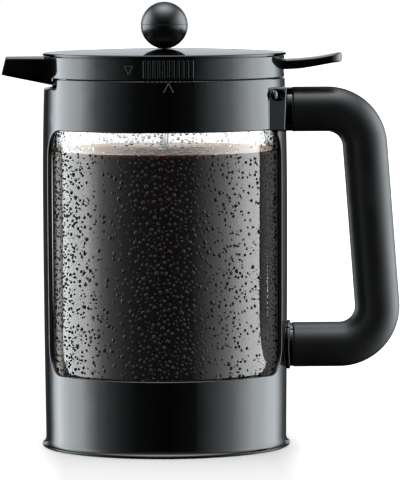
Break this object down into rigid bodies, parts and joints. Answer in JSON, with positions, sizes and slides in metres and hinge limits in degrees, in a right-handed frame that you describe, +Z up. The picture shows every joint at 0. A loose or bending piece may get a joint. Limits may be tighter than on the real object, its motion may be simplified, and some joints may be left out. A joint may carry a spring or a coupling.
{
  "type": "cold brew coffee maker",
  "caption": "Cold brew coffee maker with a clear jug in a windowed black frame, D handle, pouring lid with spout and thumb lever, and a filter plunger with a ball knob.",
  "frame": {"origin": "on the jug's vertical axis, at the surface that the feet stand on", "axes": "+Z up along the jug's axis, +X towards the handle, -X towards the spout, -Y the front with the alignment marks"},
  "size_m": [0.209, 0.1306, 0.233],
  "materials": {
    "frame_plastic": "polished black moulded plastic",
    "lid_plastic": "polished black moulded plastic",
    "knob_plastic": "polished black moulded plastic",
    "soft_touch": "soft-touch black, very fine texture",
    "jug_clear": "clear, wet with condensation outside",
    "steel": "bright drawn stainless steel",
    "steel_mesh": "fine woven stainless steel mesh",
    "brass": "turned brass",
    "silicone": "dark grey silicone"
  },
  "bodies": {
    "frame": {"frame": "frame_plastic", "handle_core": "frame_plastic", "handle_grip": "soft_touch", "saddle_screw_front": "frame_plastic", "saddle_screw_back": "frame_plastic", "handle_screw_upper": "steel", "handle_screw_lower": "steel", "jug_cushion": "silicone"},
    "jug": {"jug": "jug_clear"},
    "lid_seal": {"lid_seal": "silicone"},
    "lid": {"lid_base": "lid_plastic", "lid_cap": "lid_plastic", "rod_bush": "silicone", "lever_pin": "steel", "lever_spring": "steel"},
    "lever": {"thumb_lever": "lid_plastic", "valve_pad": "silicone"},
    "plunger": {"knob_lower": "knob_plastic", "knob_upper": "knob_plastic", "knob_insert": "brass", "plunger_rod": "steel", "rod_collar": "steel", "spring_plate": "steel", "edge_spring": "steel", "mesh_filter": "steel_mesh", "cross_plate": "steel"}
  },
  "joints": [
    {"name": "jug_lift", "type": "slide", "parent": "frame", "child": "jug", "axis": [0, 0, 1], "range_m": [0, 0.2]},
    {"name": "lid_lift", "type": "slide", "parent": "jug", "child": "lid_seal", "axis": [0, 0, 1], "range_m": [0, 0.2]},
    {"name": "lid_turn", "type": "hinge", "parent": "lid_seal", "child": "lid", "pos_m": [0, 0, 0.1939], "axis": [0, 0, 1], "range_deg": [0, 19]},
    {"name": "plunger_slide", "type": "slide", "parent": "lid", "child": "plunger", "axis": [0, 0, 1], "range_m": [0, 0.15]},
    {"name": "lever_press", "type": "hinge", "parent": "lid", "child": "lever", "pos_m": [0.036, 0, 0.1996], "axis": [0, 1, 0], "range_deg": [0, 4], "stiffness_Nm_per_rad": 0.4, "springref_deg": -8.59, "deforming": ["lever_spring"]}
  ]
}
